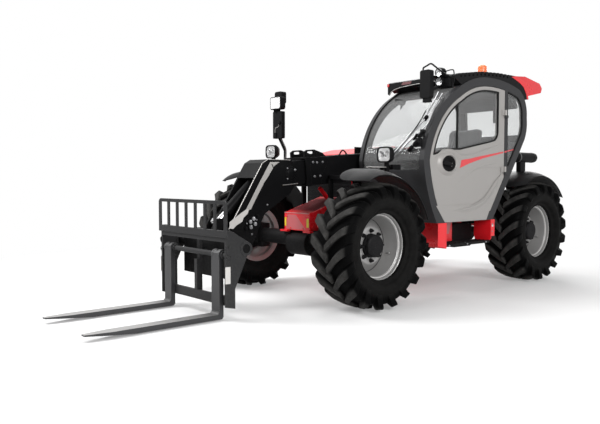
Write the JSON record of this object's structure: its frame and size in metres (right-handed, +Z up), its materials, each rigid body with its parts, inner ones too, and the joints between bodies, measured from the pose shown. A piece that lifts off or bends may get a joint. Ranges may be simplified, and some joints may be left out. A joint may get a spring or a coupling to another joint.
{
  "type": "telehandler",
  "caption": "Telescopic handler with a side cab, four steered lugged wheels, a drop-head boom and a tilting fork carriage.",
  "frame": {"origin": "on the ground, under the middle of the whole outline", "axes": "+X forward along the forks, +Y to the machine's left, +Z up"},
  "size_m": [6.23, 2.39, 2.545],
  "materials": {
    "tyre": "matt black rubber",
    "rim_silver": "silver paint",
    "hub_black": "black paint",
    "red_paint": "gloss red paint",
    "black_paint": "satin black paint",
    "fork_grey": "dark grey paint, worn",
    "cab_grey": "dark grey paint",
    "door_grey": "warm grey paint",
    "black_plastic": "grained black plastic",
    "tinted_glass": "tinted glass",
    "chrome_rod": "hard chrome",
    "steel_dark": "painted casting",
    "seat_fabric": "black cloth",
    "lamp_clear": "clear lens in a dark housing",
    "beacon_orange": "orange lens"
  },
  "bodies": {
    "chassis": {"chassis_frame": "red_paint", "front_axle": "steel_dark", "rear_axle": "steel_dark", "engine_tray": "black_paint", "engine_block": "steel_dark", "fuel_tank": "black_plastic", "counterweight": "black_paint", "cab_frame": "cab_grey", "windscreen": "tinted_glass", "cab_windows": "tinted_glass", "cab_roof": "black_plastic", "roof_spoiler": "red_paint", "beacon": "beacon_orange", "seat_frame": "black_paint", "seat_cushions": "seat_fabric", "steering_column": "black_plastic", "steering_wheel": "black_plastic", "front_fenders": "black_plastic", "rear_fenders": "black_plastic", "step_brackets": "red_paint", "step_tread": "black_paint", "lamps": "lamp_clear", "mirrors": "black_plastic"},
    "boom": {"boom_outer": "black_paint"},
    "boom_extension": {"boom_inner": "black_paint"},
    "carriage": {"quick_coupler": "black_paint", "carriage": "fork_grey", "load_backrest": "fork_grey", "forks": "fork_grey"},
    "lift_barrel": {"lift_cylinder_barrel": "black_paint"},
    "lift_rod": {"lift_cylinder_rod": "chrome_rod"},
    "tilt_barrel": {"tilt_cylinder_barrel": "black_paint"},
    "tilt_rod": {"tilt_cylinder_rod": "chrome_rod"},
    "cab_door": {"cab_door": "door_grey", "door_glass": "tinted_glass"},
    "engine_hood": {"engine_hood": "red_paint"},
    "knuckle_front_left": {"knuckle_front_left": "steel_dark"},
    "wheel_front_left": {"tyre_front_left": "tyre", "rim_front_left": "rim_silver", "hub_front_left": "hub_black"},
    "knuckle_front_right": {"knuckle_front_right": "steel_dark"},
    "wheel_front_right": {"tyre_front_right": "tyre", "rim_front_right": "rim_silver", "hub_front_right": "hub_black"},
    "knuckle_rear_left": {"knuckle_rear_left": "steel_dark"},
    "wheel_rear_left": {"tyre_rear_left": "tyre", "rim_rear_left": "rim_silver", "hub_rear_left": "hub_black"},
    "knuckle_rear_right": {"knuckle_rear_right": "steel_dark"},
    "wheel_rear_right": {"tyre_rear_right": "tyre", "rim_rear_right": "rim_silver", "hub_rear_right": "hub_black"},
    "front_steering_rod": {"front_steering_rod": "chrome_rod"},
    "rear_steering_rod": {"rear_steering_rod": "chrome_rod"}
  },
  "joints": [
    {"name": "front_left_steer", "type": "hinge", "parent": "chassis", "child": "knuckle_front_left", "pos_m": [0.51499, 0.8, 0.605], "axis": [0, 0, 1], "range_deg": [-30, 30]},
    {"name": "front_left_wheel_spin", "type": "hinge", "parent": "knuckle_front_left", "child": "wheel_front_left", "pos_m": [0.51499, 0.96, 0.605], "axis": [0, 1, 0], "continuous": true},
    {"name": "front_right_steer", "type": "hinge", "parent": "chassis", "child": "knuckle_front_right", "pos_m": [0.51499, -0.8, 0.605], "axis": [0, 0, 1], "range_deg": [-30, 30]},
    {"name": "front_right_wheel_spin", "type": "hinge", "parent": "knuckle_front_right", "child": "wheel_front_right", "pos_m": [0.51499, -0.96, 0.605], "axis": [0, 1, 0], "continuous": true},
    {"name": "rear_left_steer", "type": "hinge", "parent": "chassis", "child": "knuckle_rear_left", "pos_m": [-2.29501, 0.8, 0.605], "axis": [0, 0, 1], "range_deg": [-30, 30]},
    {"name": "rear_left_wheel_spin", "type": "hinge", "parent": "knuckle_rear_left", "child": "wheel_rear_left", "pos_m": [-2.29501, 0.96, 0.605], "axis": [0, 1, 0], "continuous": true},
    {"name": "rear_right_steer", "type": "hinge", "parent": "chassis", "child": "knuckle_rear_right", "pos_m": [-2.29501, -0.8, 0.605], "axis": [0, 0, 1], "range_deg": [-30, 30]},
    {"name": "rear_right_wheel_spin", "type": "hinge", "parent": "knuckle_rear_right", "child": "wheel_rear_right", "pos_m": [-2.29501, -0.96, 0.605], "axis": [0, 1, 0], "continuous": true},
    {"name": "front_steering_slide", "type": "slide", "parent": "chassis", "child": "front_steering_rod", "axis": [0, 1, 0], "range_m": [-0.0691, 0.0691]},
    {"name": "rear_steering_slide", "type": "slide", "parent": "chassis", "child": "rear_steering_rod", "axis": [0, 1, 0], "range_m": [-0.0691, 0.0691]},
    {"name": "boom_lift", "type": "hinge", "parent": "chassis", "child": "boom", "pos_m": [-2.43501, 0, 1.545], "axis": [0, -1, 0], "range_deg": [0, 60]},
    {"name": "boom_extend", "type": "slide", "parent": "boom", "child": "boom_extension", "axis": [0.9971, 0, -0.076], "range_m": [0, 2]},
    {"name": "carriage_tilt", "type": "hinge", "parent": "boom_extension", "child": "carriage", "pos_m": [1.48501, 0, 0.586], "axis": [0, 1, 0], "range_deg": [-13, 90]},
    {"name": "lift_barrel_swing", "type": "hinge", "parent": "chassis", "child": "lift_barrel", "pos_m": [-1.93501, 0, 0.7], "axis": [0, -1, 0], "range_deg": [-0.2, 51.51]},
    {"name": "lift_rod_slide", "type": "slide", "parent": "lift_barrel", "child": "lift_rod", "axis": [0.9337, 0, 0.3579], "range_m": [-0.002, 0.9485]},
    {"name": "tilt_barrel_swing", "type": "hinge", "parent": "boom_extension", "child": "tilt_barrel", "pos_m": [1.13501, 0, 1.26501], "axis": [0, 1, 0], "range_deg": [-1.91, 12.04]},
    {"name": "tilt_rod_slide", "type": "slide", "parent": "tilt_barrel", "child": "tilt_rod", "axis": [0.7383, 0, -0.6744], "range_m": [-0.052, 0.3481]},
    {"name": "cab_door_hinge", "type": "hinge", "parent": "chassis", "child": "cab_door", "pos_m": [-1.55401, 1.114, 1.3], "axis": [0, 0, 1], "range_deg": [0, 85]},
    {"name": "engine_hood_hinge", "type": "hinge", "parent": "chassis", "child": "engine_hood", "pos_m": [-0.98501, -0.221, 1.636], "axis": [-1, 0, 0], "range_deg": [0, 60]}
  ],
  "couplings": [
    {"joint": "front_right_steer", "follows": "front_left_steer", "ratio": 1},
    {"joint": "front_steering_slide", "follows": "front_left_steer", "m_per_rad": -0.13},
    {"joint": "rear_right_steer", "follows": "rear_left_steer", "ratio": 1},
    {"joint": "rear_steering_slide", "follows": "rear_left_steer", "m_per_rad": 0.13},
    {"joint": "lift_barrel_swing", "follows": "boom_lift", "ratio": 0.8551},
    {"joint": "lift_rod_slide", "follows": "boom_lift", "m_per_rad": 0.90381},
    {"joint": "tilt_barrel_swing", "follows": "carriage_tilt", "ratio": 0.13157},
    {"joint": "tilt_rod_slide", "follows": "carriage_tilt", "m_per_rad": 0.22035}
  ]
}
